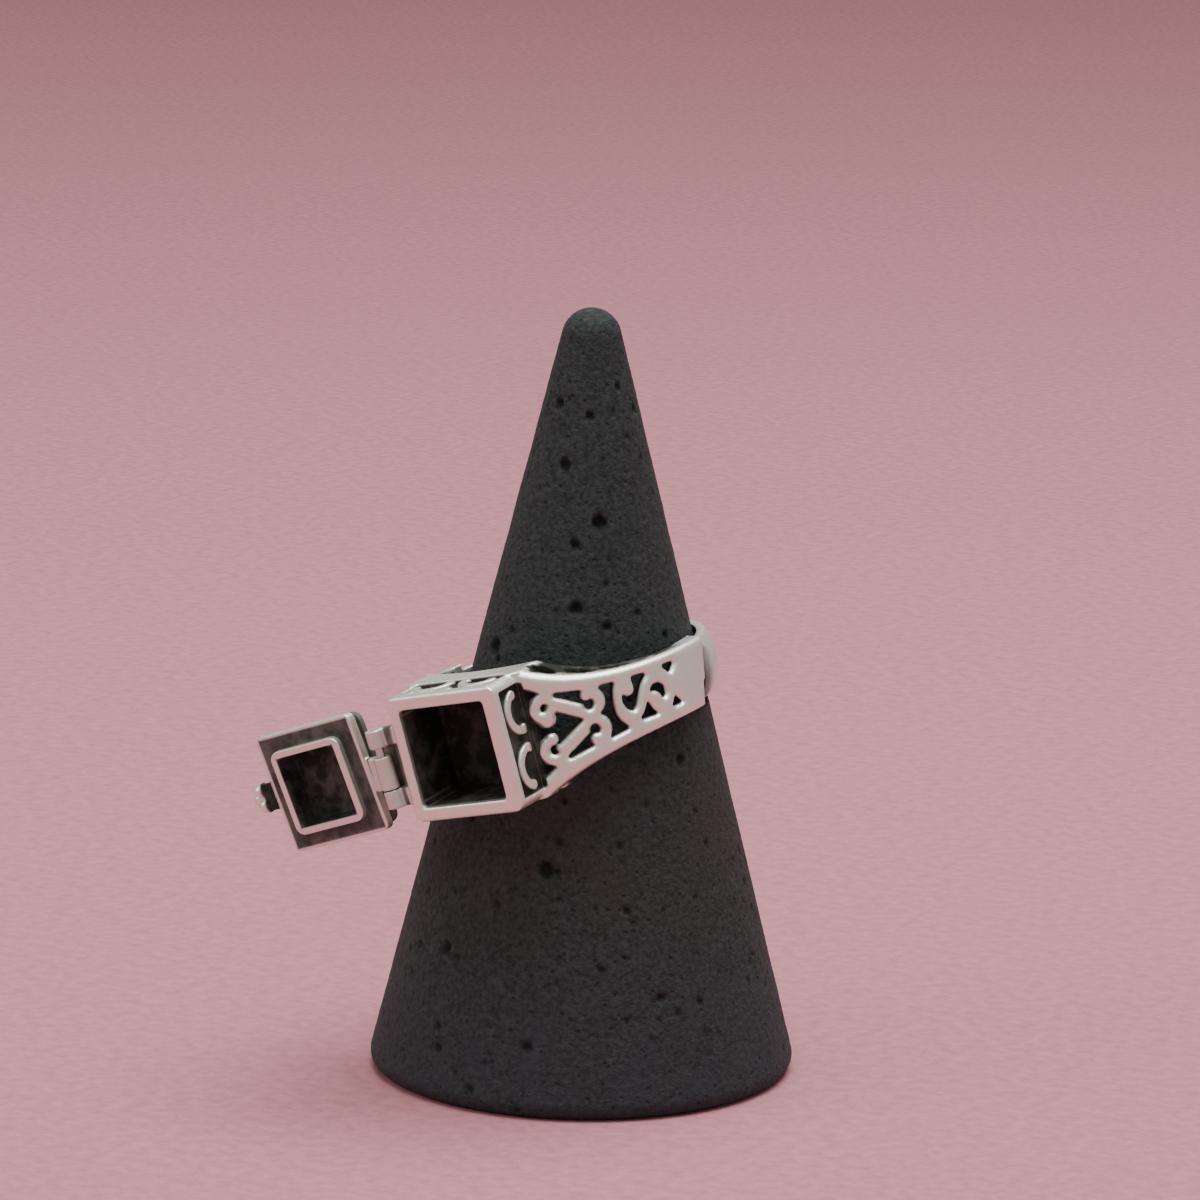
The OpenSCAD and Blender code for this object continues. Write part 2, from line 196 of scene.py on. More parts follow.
def file_edge(point, inward_a, depth_a, inward_b, depth_b, radius):
    """Pulls a point near the meeting of faces a and b onto a round of this radius."""
    if not (-REACH_OUT_MM < depth_a < radius and -REACH_OUT_MM < depth_b < radius):
        return point
    reach = math.hypot(radius - depth_a, radius - depth_b)
    pull = max(0, 1 - radius / reach)
    return point + pull * ((radius - depth_a) * inward_a + (radius - depth_b) * inward_b)


def file_block(p):
    """Rounds the rails of a shoulder, and the rim and the mouth of the box."""
    x, z = abs(p.x), abs(p.z)
    side, up = math.copysign(1, p.x), math.copysign(1, p.z)
    if x > HALF_BOX_MM + REACH_OUT_MM:
        way, depth = under_sweep(p)
        return file_edge(p, way, depth, Vector((0, 0, -up)), rail_edge(x) - z, RAIL_ROUND_MM)
    depth = p.y - RIM_Y_MM
    away = Vector((side, 0, 0)) if x > z else Vector((0, 0, up))
    p = file_edge(p, INTO_BOX, depth, -away, HALF_BOX_MM - max(x, z), RIM_ROUND_MM)
    past_mouth = max(abs(p.x + MOUTH_SHIFT_MM), z) - HALF_MOUTH_MM
    return file_edge(p, INTO_BOX, depth, away, past_mouth, MOUTH_ROUND_MM)


print("rounds in mm: rails", RAIL_ROUND_MM, "rim", RIM_ROUND_MM, "mouth", MOUTH_ROUND_MM)

# %% [markdown]
# ### Scrolls filed half round
# The scrolls are round too, but their sawn edges wander, so no formula gives a point's way to the edge.
# Instead each point of the face looks for the nearest point of a sawn wall, with a k-d tree, which finds
# neighbours fast, and sinks further the closer that wall is.

# %% File the scrolls
SCROLL_ROUND_MM = 0.36
WALL_FROM_MM, WALL_TO_MM = 0.1, 0.5
PLATE_END_MM, RAIL_FACE_MM = 0.8, 0.15


def on_shoulder(p):
    """True on a shoulder plate, between its rails and before its end at the band."""
    x = abs(p.x)
    return x > HALF_BOX_MM + REACH_OUT_MM and p.y < PLATE_END_MM and abs(p.z) < rail_edge(x) - RAIL_FACE_MM


def file_scrolls(points):
    """Rounds the face of each shoulder down to the walls of its sawn openings."""
    ways = {i: under_sweep(p) for i, p in enumerate(points) if on_shoulder(p)}
    walls = [i for i, (way, depth) in ways.items() if WALL_FROM_MM < depth < WALL_TO_MM]
    near_wall = kdtree.KDTree(len(walls))
    for i in walls:
        way, depth = ways[i]
        near_wall.insert(points[i] - depth * way, i)
    near_wall.balance()
    filed = list(points)
    for i, (way, depth) in ways.items():
        if not -REACH_OUT_MM < depth < SCROLL_ROUND_MM:
            continue
        to_wall = near_wall.find(points[i] - depth * way)[2]
        rest = max(0, SCROLL_ROUND_MM - to_wall)
        sunk = SCROLL_ROUND_MM - math.sqrt(SCROLL_ROUND_MM ** 2 - rest ** 2)
        filed[i] = points[i] + max(0, sunk - depth) * way
    print(len(ways), "points lie on the shoulders,", len(walls), "of them on sawn walls")
    return filed


def file_ring(points):
    """Files the scrolls first, since a rounded rail would look like a sawn wall to them."""
    return [file_block(p) for p in file_scrolls(points)]


# %% [markdown]
# ## Where the ring stays dark
# A goldsmith blackens the whole ring and polishes it back, so the black is left wherever the buff doesn't
# reach: in the compartment, in the sunk panels of the box and down the sides of every sawn opening. Inside
# the head, on the box's side walls behind the shoulders, on the hinge's leaves and where a shoulder plate
# steps down to the band, the dark is painted shade. A rule in the ring's own frame says how black each
# point is, because paint by hand would have to be done again after every change. The small numbers beside
# a place say where the black starts and where it is full, so no border is hard.

# %% Black, and painted shade, in the box
PANEL_Y_MM, PANEL_HALF_MM = -13.5, 1.45
TOP_PANEL_BLACK = 0.35


def in_compartment(p):
    """The compartment's walls and floor, from just under the rim, but not the floor's underside."""
    half = HALF_MOUTH_MM + 0.3
    across = inside(p.x + MOUTH_SHIFT_MM, half, 0.1) * inside(p.z, half, 0.1)
    under_rim = blend_step(p.y, RIM_Y_MM + 0.15, RIM_Y_MM + 0.5)
    return across * under_rim * (1 - blend_step(p.y, FLOOR_Y_MM + 0.1, FLOOR_Y_MM + 0.3))


def in_sunk_panel(p):
    """The sunk fields behind the raised scrolls. Those above and below are rubbed brighter. The side ones
    lie in shade inside the shoulders and are full black, partly as painted shade.
    """
    reach = max(abs(p.x), abs(p.z))
    on_wall = (blend_step(reach, HALF_BOX_MM - 0.7, HALF_BOX_MM - 0.6)
               * (1 - blend_step(reach, HALF_BOX_MM - 0.26, HALF_BOX_MM - 0.08)))
    black = TOP_PANEL_BLACK if abs(p.z) > abs(p.x) else 1
    return black * on_wall * inside(p.y - PANEL_Y_MM, PANEL_HALF_MM, 0.12)


def shade_beside_panel(p):
    """The narrow strip between a side panel of the box and the sawn openings, painted dark as shade, since
    it lies in shade behind the shoulder's plate.
    """
    at_wall = inside(abs(p.x) - HALF_BOX_MM, 0.28, 0.08)
    off_rails = 1 - blend_step(abs(p.z), HALF_BOX_MM - 0.9, HALF_BOX_MM - 0.65)
    past_panel = blend_step(p.y, PANEL_Y_MM + 0.6, PANEL_Y_MM + 0.8)
    return at_wall * off_rails * past_panel * (1 - blend_step(p.y, PANEL_Y_MM + 2.1, PANEL_Y_MM + 2.5))


# %% Black, and painted shade, in the shoulders
# The inside of the head reaches this far out from the finger's axis.
HEAD_R_MM = 13.5


def sweep_depth(p):
    """How deep p lies under the outer face of its shoulder."""
    return SWEEP_R_MM - math.hypot(abs(p.x) - SIDE_X_MM + SWEEP_R_MM, p.y - SWEEP_END_MM)


def in_opening(p):
    """The sides of the sawn openings, which start just under the plate's face."""
    x = abs(p.x)
    beside_box = blend_step(x, HALF_BOX_MM - 0.35, HALF_BOX_MM - 0.25)
    under_rail = 1 - blend_step(abs(p.z), rail_edge(x) - 0.3, rail_edge(x) - 0.12)
    before_end = 1 - blend_step(p.y, SWEEP_END_MM - 0.4, SWEEP_END_MM)
    return beside_box * under_rail * before_end * blend_step(sweep_depth(p), 0.16, 0.42)


def shade_in_head(p):
    """Painted shade inside the head, and on the galleries that close its sides between the rails and the
    finger.
    """
    edge = min(HALF_BOX_MM, rail_edge(abs(p.x)))
    inner = 1 - blend_step(abs(p.z), edge - 0.2, edge - 0.05)
    on_gallery = blend_step(abs(p.x), HALF_BOX_MM, HALF_BOX_MM + 0.4)
    in_head = 1 - blend_step(math.hypot(p.x, p.y), HEAD_R_MM - 0.3, HEAD_R_MM + 0.3)
    return (max(inner, on_gallery) * in_head * blend_step(-p.y, -0.5, 0.5)
            * blend_step(sweep_depth(p), 0.38, 0.55))


# %% Painted shade on the band and at the hinge
END_SLANT = math.tan(math.radians(18))
BAND_X_MM = 10.4
HINGE_X_MM, HINGE_LEAN = -5.98, math.radians(3.5)
HINGE_BACK_Y_MM, KNUCKLE_R_MM = -13, 0.65


def line_and_shade_at_plate_end(p):
    """A dark line along the slanted end of a plate, and painted shade from the plate's step that fades out
    along the band.
    """
    past = p.y - SWEEP_END_MM - p.z * END_SLANT
    outside = blend_step(abs(p.x), BAND_X_MM - 0.1, BAND_X_MM + 0.1) * blend_step(past, -0.02, 0.06)
    line, shade = 1 - blend_step(past, 0.14, 0.6), 1 - blend_step(past, 0.8, 2.6)
    return outside * (0.2 * line + 0.8 * shade)


def from_pin(p):
    """Distance from the hinge's pin, whose line leans a little from the box's edge."""
    return math.hypot(p.x - HINGE_X_MM + p.z * math.tan(HINGE_LEAN), p.y - RIM_Y_MM)


def ring_tarnish_and_shade(p):
    """The black and painted shade of the ring at p: its own round the hinge, and elsewhere the strongest of
    the rules.
    """
    # Round the hinge the pin's round stays bright, and the leaves and plate beyond it are painted dark as
    # shade.
    if p.x < -HALF_BOX_MM - 0.05 and p.y < HINGE_BACK_Y_MM:
        return 0.25 + 0.6 * blend_step(from_pin(p), KNUCKLE_R_MM + 0.03, KNUCKLE_R_MM + 0.15)
    return max(in_compartment(p), in_sunk_panel(p), shade_beside_panel(p), in_opening(p), shade_in_head(p),
               line_and_shade_at_plate_end(p))


# %% The ring
ring = cast_copy("ring", "silver_ring", WORLD_TO_RING, file_ring, grain_mm=0.085, rounds=11, keep=0.36)
paint_tarnish_and_shade(ring, ring_tarnish_and_shade)
ring.data.transform(RING_TO_WORLD)
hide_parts("ring")
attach(ring, "ring_on_cone")
report(ring)

# %% [markdown]
# ## The lid
# The lid is easiest to work on shut, square over the box, so its copy is first swung back about the
# hinge line, and swung open again at the end. In the photograph it hangs wide open, a little more than
# half a turn from shut.

# %% The hinge's swing
OPEN_DEG = 181.5
HINGE = Matrix.Translation(Vector((HINGE_X_MM, RIM_Y_MM, 0)) * MM) @ Matrix.Rotation(-HINGE_LEAN, 4, "Y")
SWING = HINGE @ Matrix.Rotation(math.radians(-OPEN_DEG), 4, "Z") @ HINGE.inverted()
LID_TO_WORLD = RING_TO_WORLD @ SWING
WORLD_TO_LID = LID_TO_WORLD.inverted()
print("the lid is open by", OPEN_DEG, "degrees")

# %% [markdown]
# ### Three small beads
# A cluster of three beads ends the thumb tab. They are so small that the smoothing would wear them down,
# so each is first swelled by what it will lose.

# %% Swell the beads
LID_DROP_MM = 0.3
TAB_END_MM = 5.5
BEAD_R_MM, BEAD_Y_MM, BEADS_APART_MM = 0.42, -16.05, 0.54
BEAD_FULLER_MM = 0.16


def bead_middle(s):
    """The middle of bead -1, 0 or 1. Bead 0 stands further out than the other two."""
    out = TAB_END_MM + BEAD_R_MM * (1.15 - 0.6 * abs(s))
    return Vector((out, BEAD_Y_MM, BEADS_APART_MM * s - LID_DROP_MM))


BEADS = [bead_middle(s) for s in (-1, 0, 1)]


def fill_beads(points):
    """Moves the points of each bead straight out from its middle."""
    full = list(points)
    on_beads = [i for i, p in enumerate(points) if p.x > TAB_END_MM - 0.05]
    for i in on_beads:
        bead = min(BEADS, key=lambda middle: (points[i] - middle).length)
        full[i] = points[i] + BEAD_FULLER_MM * (points[i] - bead).normalized()
    print(len(on_beads), "points of the beads are swelled")
    return full


# %% Black, and painted shade, on the lid
HALF_LID_MM, HALF_LIP_MM, LIP_T_MM = 4.35, 3.15, 0.55
PLATE_FRONT_Y_MM, PLATE_BACK_Y_MM, HOLLOW_FLOOR_Y_MM = -15.65, -16.4, -17.6
# The lid's hinge is rubbed bright out to this distance from its pin.
HINGE_BRIGHT_MM = 1.12


def lid_tarnish_and_shade(p):
    """Bright on the lip, the plate's edges, the hinge and the beads, black where a buff cannot go, and dark
    on the sides of the back, partly as painted shade.
    """
    if p.x < -HALF_LID_MM - 0.1:
        return 0.2 + 0.62 * blend_step(from_pin(p), HINGE_BRIGHT_MM, HINGE_BRIGHT_MM + 0.13)
    if p.x > HALF_LID_MM + 0.1:
        return 1.02 * (1 - blend_step(p.x, TAB_END_MM - 0.12, TAB_END_MM + 0.05))
    reach = max(abs(p.x), abs(p.z + LID_DROP_MM))
    inner_lip = HALF_LIP_MM - LIP_T_MM
    on_lip = (blend_step(p.y, PLATE_FRONT_Y_MM + 0.1, PLATE_FRONT_Y_MM + 0.35)
              * blend_step(reach, inner_lip - 0.05, inner_lip + 0.1))
    face = 0.93 * (1 - blend_step(reach, HALF_LID_MM - 0.3, HALF_LID_MM - 0.14))
    front = max(face * (1 - on_lip), 0.08)
    # The sides of the back are dark as tarnish and as painted shade.
    back = max(0.3, 0.9 * blend_step(reach, HALF_LID_MM - 0.9, HALF_LID_MM - 0.5))
    behind = 1 - blend_step(p.y, PLATE_BACK_Y_MM - 0.2, PLATE_BACK_Y_MM)
    hollow = ((1 - blend_step(reach, inner_lip, inner_lip + 0.1))
              * blend_step(p.y, HOLLOW_FLOOR_Y_MM + 0.2, HOLLOW_FLOOR_Y_MM + 0.4))
    return max(0.97 * hollow, front + (back - front) * behind)


# %% The lid's silver
lid = cast_copy("lid", "silver_lid", WORLD_TO_LID, fill_beads, grain_mm=0.062, rounds=10, keep=0.45)
paint_tarnish_and_shade(lid, lid_tarnish_and_shade)
lid.data.transform(LID_TO_WORLD)
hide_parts("lid")
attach(lid, "lid")
report(lid)

# %% [markdown]
# ## The cone
# The stand is one piece of dark volcanic stone, turned on a lathe and rubbed smooth, with its gas bubbles
# cut open as pits. A cone primitive has no small squares to work on, so this one is turned: the line of a
# turner's template is drawn vertex by vertex and spun round the axis.

# %% The turner's template
CONE_FOOT_MM, CONE_H_MM = 15.6, 55.4
FOOT_EDGE_MM, TIP_R_MM = 1.0, 2.2
# Steps along the foot's rounded edge, the tip and the wall.
FOOT_ARC, TIP_ARC, WALL_ROWS = 8, 12, 225
# The foot's flat has one ring of points on the way to its edge.
FOOT_RING_MM = 7


def cone_profile(rows):
    """Points (radius, height) in mm from the foot's rounded edge up to the tip."""
    tip_z = CONE_H_MM - TIP_R_MM
    lean = math.acos(TIP_R_MM / math.hypot(CONE_FOOT_MM, tip_z)) - math.atan2(tip_z, CONE_FOOT_MM)
    edge_x = CONE_FOOT_MM - FOOT_EDGE_MM * math.tan(lean) - FOOT_EDGE_MM / math.cos(lean)
    foot = [(edge_x + FOOT_EDGE_MM * math.cos(t), FOOT_EDGE_MM * (1 + math.sin(t)))
            for t in (-math.pi / 2 + (math.pi / 2 + lean) * i / FOOT_ARC for i in range(FOOT_ARC + 1))]
    tip = [(TIP_R_MM * math.cos(t), tip_z + TIP_R_MM * math.sin(t))
           for t in (lean + (math.pi / 2 - lean) * i / TIP_ARC for i in range(TIP_ARC + 1))]
    (r0, z0), (r1, z1) = foot[-1], tip[0]
    wall = [(r0 + (r1 - r0) * i / rows, z0 + (z1 - z0) * i / rows) for i in range(1, rows)]
    return foot + wall + tip


profile = [(0, 0), (FOOT_RING_MM, 0)] + cone_profile(WALL_ROWS)
print("the template has", len(profile), "points and is", CONE_H_MM, "mm high")

# %% Turn the blank
SPIN_STEPS = 360


def bare_vertex(name):
    """A mesh of one vertex at the origin, which the template's line is then drawn from."""
    bpy.ops.object.select_all(action="DESELECT")
    bpy.ops.mesh.primitive_plane_add(size=MM, location=(0, 0, 0))
    obj = bpy.context.object
    obj.name = obj.data.name = name
    bpy.ops.object.mode_set(mode="EDIT")
    bpy.ops.mesh.select_all(action="SELECT")
    bpy.ops.mesh.merge(type="CENTER")
    return obj


cone = bare_vertex("stone_cone")
for (r0, z0), (r1, z1) in zip(profile, profile[1:]):
    step = ((r1 - r0) * MM, 0, (z1 - z0) * MM)
    bpy.ops.mesh.extrude_vertices_move(TRANSFORM_OT_translate={"value": step})
bpy.ops.mesh.select_all(action="SELECT")
bpy.ops.mesh.spin(steps=SPIN_STEPS, angle=2 * math.pi, center=(0, 0, 0), axis=(0, 0, 1))
bpy.ops.mesh.select_all(action="SELECT")
bpy.ops.mesh.remove_doubles(threshold=0.001 * MM)
bpy.ops.mesh.normals_make_consistent(inside=False)
bpy.ops.object.mode_set(mode="OBJECT")
report(cone)

# %% [markdown]
# ### Pits and a rough skin
# The pits are pressed in one by one, as with a thumb: every point near a pit's middle moves inwards by a
# share of the pit's depth. In front, the larger ones lie where the photograph shows them. Those at the
# back are made up, because it is hidden, and the small ones are scattered with a fixed seed. Slow and fast
# noise then roughens the skin between them.

# %% Place the pits
random.seed(11)
# Angle round the cone in degrees, share of the height, radius in mm. The camera stands at about -60.
LARGE_PITS = [
    (-51, 0.738, 0.62), (-83, 0.807, 0.5), (-73, 0.309, 0.62), (-119, 0.57, 0.62), (-66, 0.632, 0.55),
    (-103, 0.883, 0.45), (-60, 0.87, 0.38), (-69, 0.71, 0.4), (-108, 0.193, 0.5), (-14, 0.437, 0.5),
    (-75, 0.09, 0.42), (-48, 0.61, 0.36), (-20, 0.904, 0.3), (-90, 0.26, 0.32), (30, 0.76, 0.5),
    (75, 0.3, 0.58), (120, 0.66, 0.45), (150, 0.22, 0.5), (-160, 0.4, 0.45), (-35, 0.15, 0.36),
]
SMALL_PITS = 360
small_pits = [(random.uniform(-180, 180), 1 - math.sqrt(random.uniform(0.001, 0.96)),
               random.uniform(0.13, 0.3) * (0.7 + 0.5 * random.random())) for _ in range(SMALL_PITS)]
# The wall's radius and its distance from the top, where it meets the rounded tip.
WALL_TOP_R_MM, WALL_TOP_DROP_MM = 2.13, 1.66


def wall_point(angle, share):
    """The place on the cone's wall at this angle and share of the height."""
    slope = (CONE_FOOT_MM - WALL_TOP_R_MM) / (CONE_H_MM - WALL_TOP_DROP_MM)
    r = (CONE_FOOT_MM - share * CONE_H_MM * slope) * MM
    a = math.radians(angle)
    return Vector((r * math.cos(a), r * math.sin(a), share * CONE_H_MM * MM))


print(len(LARGE_PITS), "large pits and", len(small_pits), "small ones")

# %% Press the pits
# How deep a pit is, as a share of its radius.
PIT_DEPTH = 0.75
skin = cone.data.vertices
near_skin = kdtree.KDTree(len(skin))
for v in skin:
    near_skin.insert(v.co, v.index)
near_skin.balance()
sink = [0.0] * len(skin)
for angle, share, r_mm in LARGE_PITS + small_pits:
    middle = wall_point(angle, share)
    for co, index, distance in near_skin.find_range(middle, 1.5 * r_mm * MM):
        wobble = 1 + 0.3 * noise.noise(co / (0.5 * MM))
        d = distance / (r_mm * MM) * wobble
        sink[index] = max(sink[index], PIT_DEPTH * r_mm * (1 - blend_step(d, 0.45, 1.1)))
print("pits press", sum(s > 0 for s in sink), "of", len(sink), "points, the deepest by",
      round(max(sink), 2), "mm")

# %% Roughen the skin
# A pit as deep as this is painted black all over, as shade.
PIT_SHADE_FULL_MM = 0.25
pit_shade_layer = cone.data.attributes.new("pit", "FLOAT", "POINT")
for v in skin:
    flat = math.hypot(v.co.x, v.co.y)
    if v.co.z < 0.05 * MM or flat < 1e-6:
        continue
    rough = 0.022 * noise.noise(v.co / (0.45 * MM)) + 0.03 * noise.noise(v.co / (2.4 * MM)) - 0.045
    pit_shade_layer.data[v.index].value = min(1, sink[v.index] / PIT_SHADE_FULL_MM)
    out = Vector((v.co.x, v.co.y, 0)) / flat
    v.co += out * (rough - sink[v.index]) * MM
only(cone)
bpy.ops.object.shade_smooth()
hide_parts("cone_stand")
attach(cone, "ring_on_cone")
report(cone)

# %% [markdown]
# ## Finishes
# A material is a tree of nodes, and writing each node out would hide the recipe. These helpers add one
# node each and hand back its output, so that a material below reads like a list of steps.

# %% Numbers from numbers
def wire(tree, source, target):
    """Joins an output to an input."""
    tree.links.new(source, target)


def math_node(tree, operation, a, b=None, c=None, clamp=False):
    """One sum on numbers or outputs."""
    node = tree.nodes.new("ShaderNodeMath")
    node.operation, node.use_clamp = operation, clamp
    for socket, value in zip(node.inputs, (a, b, c)):
        if value is None:
            continue
        if isinstance(value, (int, float)):
            socket.default_value = value
        else:
            wire(tree, value, socket)
    return node.outputs[0]


def spread(tree, value, low, high, to_low=0.0, to_high=1.0, smooth=True):
    """Maps low..high to to_low..to_high."""
    node = tree.nodes.new("ShaderNodeMapRange")
    node.interpolation_type = "SMOOTHSTEP" if smooth else "LINEAR"
    wire(tree, value, node.inputs["Value"])
    for name, number in (("From Min", low), ("From Max", high), ("To Min", to_low), ("To Max", to_high)):
        node.inputs[name].default_value = number
    return node.outputs["Result"]


# %% Colours, stored values and bumps
def mix_colour(tree, mask, a, b):
    """Colour a where the mask is 0 and colour b where it is 1."""
    node = tree.nodes.new("ShaderNodeMix")
    node.data_type = "RGBA"
    wire(tree, mask, node.inputs["Factor"])
    for name, colour in (("A", a), ("B", b)):
        socket = next(k for k in node.inputs if k.name == name and k.type == "RGBA")
        if isinstance(colour, tuple):
            socket.default_value = (*colour, 1)
        else:
            wire(tree, colour, socket)
    return next(k for k in node.outputs if k.type == "RGBA")


def stored_value(tree, name):
    """A value that was stored on the mesh's points."""
    node = tree.nodes.new("ShaderNodeAttribute")
    node.attribute_name = name
    return node.outputs["Fac"]


def bump(tree, height, distance):
    """A normal that leans as if the height were carved this deep."""
    node = tree.nodes.new("ShaderNodeBump")
    node.inputs["Distance"].default_value = distance
    wire(tree, height, node.inputs["Height"])
    return node.outputs["Normal"]


def new_material(name):
    """A material with its tree and its Principled shader."""
    material = bpy.data.materials.new(name)
    material.use_nodes = True
    tree = material.node_tree
    return material, tree, tree.nodes["Principled BSDF"]


# %% [markdown]
# ### Two shared patterns
# Two effects serve more than one material, so each is a node group that puts out a plain mask: `mottle`
# is slow patchy variation, and `fine_grain` is a small bumpy grain. Both read Object coordinates, so the
# pattern stays on the piece when it moves.

# %% Mottle and fine grain
def pattern_group(name, detail, low, high):
    """A group that puts out cloudy noise, with low and below turned black, high and above white."""
    group = bpy.data.node_groups.new(name, "ShaderNodeTree")
    scale = group.interface.new_socket("Scale", in_out="INPUT", socket_type="NodeSocketFloat")
    scale.default_value = 1000.0
    group.interface.new_socket("Mask", in_out="OUTPUT", socket_type="NodeSocketFloat")
    start, end = group.nodes.new("NodeGroupInput"), group.nodes.new("NodeGroupOutput")
    where = group.nodes.new("ShaderNodeTexCoord")
    cloud = group.nodes.new("ShaderNodeTexNoise")
    wire(group, where.outputs["Object"], cloud.inputs["Vector"])
    wire(group, start.outputs["Scale"], cloud.inputs["Scale"])
    cloud.inputs["Detail"].default_value = detail
    cloud.inputs["Roughness"].default_value = 0.6
    wire(group, spread(group, cloud.outputs["Fac"], low, high), end.inputs["Mask"])
    return group


def pattern(tree, group, scale):
    """Uses a shared pattern at this scale."""
    node = tree.nodes.new("ShaderNodeGroup")
    node.node_tree = group
    node.inputs["Scale"].default_value = scale
    return node.outputs["Mask"]


mottle = pattern_group("mottle", 3, 0.32, 0.68)
fine_grain = pattern_group("fine_grain", 5, 0.25, 0.75)
print("shared patterns:", mottle.name, "and", fine_grain.name)

# %% [markdown]
# ### Dark stone
# The stone is matt and nearly black, with paler dust between its grains, faint brown and blue patches,
# and tiny open bubbles that are painted deeper black as shade. The pits that are pressed into the mesh carry
# a stored value, `pit`, so their floors are painted dark as shade.

# %% The stone's colours and zones
STONE_DARK, STONE_DUST = (0.0110, 0.0148, 0.0155), (0.0345, 0.0445, 0.0465)
# The last colour here is the painted shade in the pits and open bubbles.
OLIVE, SLATE_BLUE, PIT_SHADE = (0.034, 0.029, 0.018), (0.030, 0.031, 0.045), (0.004, 0.004, 0.0045)
# The olive patches fade in and out between these heights, and the blue ones fade out above the foot.
OLIVE_IN_MM, OLIVE_OUT_MM, BLUE_OUT_MM = (10, 17), (21, 27), (2, 14)


def height_fade(tree, height, band_mm, start, end):
    """Fades from start to end over a band of heights."""
    low, high = band_mm
    return spread(tree, height, low * MM, high * MM, start, end)


def patches_in(tree, patches, zone):
    """Patches at a little over half strength, only where the zone allows them."""
    return math_node(tree, "MULTIPLY", math_node(tree, "MULTIPLY", patches, zone), 0.6)


print("olive patches lie from", OLIVE_IN_MM[0], "to", OLIVE_OUT_MM[1], "mm, blue ones below", BLUE_OUT_MM[1])

# %% The stone's tree
def dark_stone():
    """The stone: its grain, patches, open bubbles and pits, with grain and bubbles in low relief, and
    painted shade in the bubbles and the pits.
    """
    material, tree, shader = new_material("dark_stone")
    where = tree.nodes.new("ShaderNodeTexCoord").outputs["Object"]
    split = tree.nodes.new("ShaderNodeSeparateXYZ")
    wire(tree, where, split.inputs["Vector"])
    height = split.outputs["Z"]
    grain = pattern(tree, fine_grain, 2600)
    near_ring = math_node(tree, "MULTIPLY", height_fade(tree, height, OLIVE_IN_MM, 0, 1),
                          height_fade(tree, height, OLIVE_OUT_MM, 1, 0))
    near_foot = height_fade(tree, height, BLUE_OUT_MM, 1, 0)
    bubbles = tree.nodes.new("ShaderNodeTexVoronoi")
    bubbles.inputs["Scale"].default_value = 1300
    wire(tree, where, bubbles.inputs["Vector"])
    bubble = spread(tree, bubbles.outputs["Distance"], 0.12, 0.26, 1, 0)
    base = mix_colour(tree, grain, STONE_DARK, STONE_DUST)
    base = mix_colour(tree, patches_in(tree, pattern(tree, mottle, 140), near_ring), base, OLIVE)
    base = mix_colour(tree, patches_in(tree, pattern(tree, mottle, 420), near_foot), base, SLATE_BLUE)
    # Painted shade: the open bubbles and the pits' floors are darkened.
    hole_shade = math_node(tree, "MAXIMUM", math_node(tree, "MULTIPLY", bubble, 0.6), stored_value(tree, "pit"))
    base = mix_colour(tree, math_node(tree, "MULTIPLY", hole_shade, 0.85), base, PIT_SHADE)
    wire(tree, base, shader.inputs["Base Color"])
    wire(tree, spread(tree, grain, 0, 1, 0.82, 0.68, smooth=False), shader.inputs["Roughness"])
    relief = math_node(tree, "SUBTRACT", grain, bubble)
    wire(tree, bump(tree, relief, 0.06 * MM), shader.inputs["Normal"])
    shader.inputs["Specular IOR Level"].default_value = 0.3
    return material


cone.data.materials.append(dark_stone())
print("the stone has", len(cone.active_material.node_tree.nodes), "nodes")

# %% [markdown]
# ### Silver
# Old silver is bright where hands rub it and black where they can't reach. The value stored on each piece
# says where it was left dark and where shade is painted in, and ambient occlusion finds the corners and
# openings besides. The darkness then drives colour, roughness and metal together, because the black is a
# film of sulphide, which is no metal and mirrors little; the painted shade is made the same way.

# %% Silver material
# The dark of the sulphide film, which the painted shade uses too.
SULPHIDE_AND_SHADE = (0.024, 0.026, 0.022)
CORNER_REACH = 0.7 * MM


def silver(name, bright, oxide_and_shade, shine, darkness):
    """Silver of this bright colour and roughness, with black of this strength in its corners."""
    material, tree, shader = new_material(name)
    hidden = tree.nodes.new("ShaderNodeAmbientOcclusion")
    hidden.samples = 16
    hidden.inputs["Distance"].default_value = CORNER_REACH
    corner = spread(tree, hidden.outputs["AO"], 0.15, 0.7, 1, 0)
    patchy = pattern(tree, mottle, 700)
    fine = pattern(tree, fine_grain, 4200)
    uneven = math_node(tree, "MULTIPLY_ADD", patchy, 0.1, 0.95)
    dark = math_node(tree, "MULTIPLY", stored_value(tree, "tarnish_and_shade"), uneven, clamp=True)
    dark = math_node(tree, "MAXIMUM", dark, math_node(tree, "MULTIPLY", corner, darkness))
    dull = tuple(0.9 * c for c in bright)
    metal = mix_colour(tree, math_node(tree, "MULTIPLY", patchy, 0.5), bright, dull)
    wire(tree, mix_colour(tree, dark, metal, oxide_and_shade), shader.inputs["Base Color"])
    rub = math_node(tree, "MULTIPLY_ADD", fine, 0.08, shine)
    wire(tree, math_node(tree, "MULTIPLY_ADD", dark, 0.3, rub), shader.inputs["Roughness"])
    wire(tree, math_node(tree, "MULTIPLY_ADD", dark, -0.75, 1.0), shader.inputs["Metallic"])
    wire(tree, bump(tree, fine, 0.008 * MM), shader.inputs["Normal"])
    shader.inputs["Specular IOR Level"].default_value = 0.2
    return material


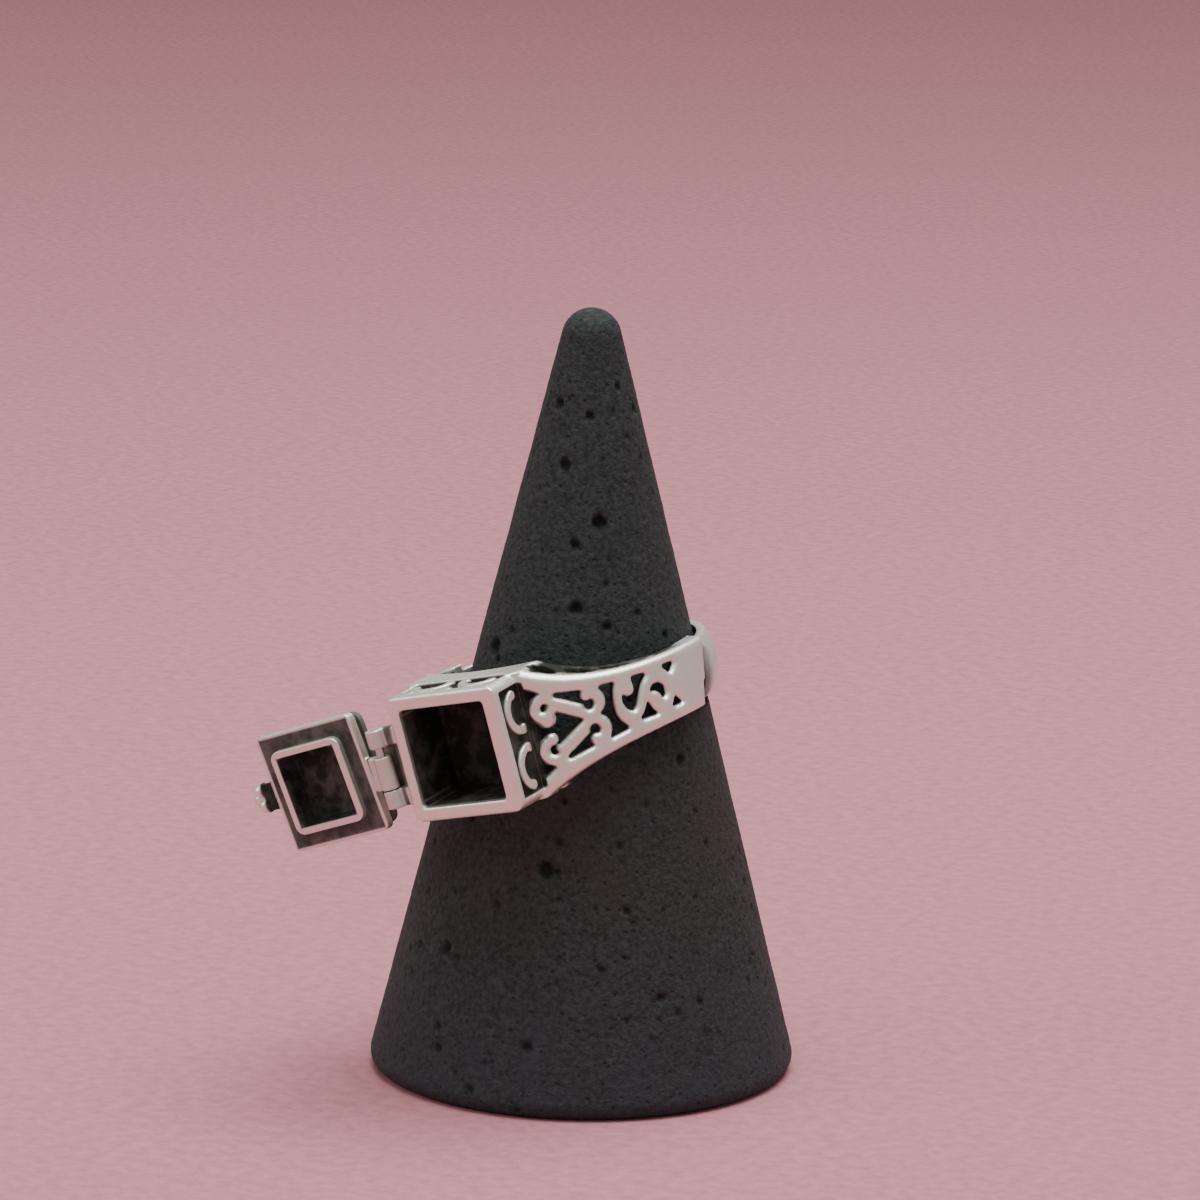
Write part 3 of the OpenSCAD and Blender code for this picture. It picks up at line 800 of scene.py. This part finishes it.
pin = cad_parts["hinge_pin"]
pin.data.materials.clear()
for piece, finish in ((ring, silver("cast_silver", (0.93, 0.93, 0.86), SULPHIDE_AND_SHADE, 0.36, 0.95)),
                      (lid, silver("dark_silver", (0.92, 0.92, 0.85), SULPHIDE_AND_SHADE, 0.33, 0.9)),
                      (pin, silver("pin_wire", (0.7, 0.66, 0.62), (0.03, 0.03, 0.03), 0.3, 0.8))):
    piece.data.materials.append(finish)
    print(piece.name, "is finished in", finish.name)

# %% [markdown]
# ## The studio
# A plain pale floor fills the picture. One wide soft light hangs overhead, a second fills from the front
# left, and the pale room around them gives the silver something even to mirror.

# %% Floor
FLOOR_TONES = ((0.440, 0.190, 0.222), (0.550, 0.250, 0.285))
bpy.ops.object.select_all(action="DESELECT")
bpy.ops.mesh.primitive_plane_add(size=6, location=(0, 0, 0))
floor = bpy.context.object
floor.name = floor.data.name = "floor"
matt, tree, shader = new_material("pale_floor")
wire(tree, mix_colour(tree, pattern(tree, fine_grain, 900), *FLOOR_TONES), shader.inputs["Base Color"])
shader.inputs["Roughness"].default_value = 1.0
shader.inputs["Specular IOR Level"].default_value = 0.0
floor.data.materials.append(matt)
print("the floor is", floor.dimensions.x, "m wide")

# %% Lights
LIT_POINT = Vector((0, 0, 0.03))


def soft_light(name, place, size, watts, colour):
    """A round soft light that is turned to the middle of the cone."""
    bpy.ops.object.select_all(action="DESELECT")
    bpy.ops.object.light_add(type="AREA", location=place)
    lamp = bpy.context.object
    lamp.name = name
    lamp.data.shape, lamp.data.size, lamp.data.energy, lamp.data.color = "DISK", size, watts, colour
    lamp.rotation_euler = (LIT_POINT - Vector(place)).to_track_quat("-Z", "Y").to_euler()
    print(name, "gives", watts, "watts from a disk of", size, "m")


soft_light("overhead", (0.05, 0.05, 0.6), 0.56, 5.2, (1, 0.985, 0.96))
soft_light("front_left", (-0.45, -0.5, 0.35), 0.35, 0.9, (1, 0.97, 0.95))

# %% The room
room = bpy.data.worlds.new("room")
bpy.context.scene.world = room
room.use_nodes = True
backdrop = room.node_tree.nodes["Background"]
backdrop.inputs["Color"].default_value = (0.50, 0.472, 0.445, 1)
backdrop.inputs["Strength"].default_value = 1.08
print("the room's light has strength", round(backdrop.inputs["Strength"].default_value, 2))

# %% [markdown]
# ## The camera
# The camera stands well back with a long lens, a little above the ring and to its front right, as the
# photographer did.

# %% Camera
LOOK_AT = Vector((0.750, 0.441, 34.28)) * MM
BACK = Vector((0.496, -0.843, 0.206)).normalized()
DISTANCE, ROLL = 0.42, math.radians(0.87)
LENS_MM = 176.4
bpy.ops.object.select_all(action="DESELECT")
bpy.ops.object.camera_add(location=LOOK_AT + DISTANCE * BACK)
camera = bpy.context.object
camera.name = "photo_camera"
camera.rotation_mode = "QUATERNION"
camera.rotation_quaternion = (-BACK).to_track_quat("-Z", "Y") @ Matrix.Rotation(ROLL, 3, "Z").to_quaternion()
camera.data.lens, camera.data.sensor_width = LENS_MM, 36
camera.data.clip_start, camera.data.clip_end = 0.05, 20
bpy.context.scene.camera = camera
print("the camera looks down by", round(math.degrees(math.asin(BACK.z)), 1), "degrees")
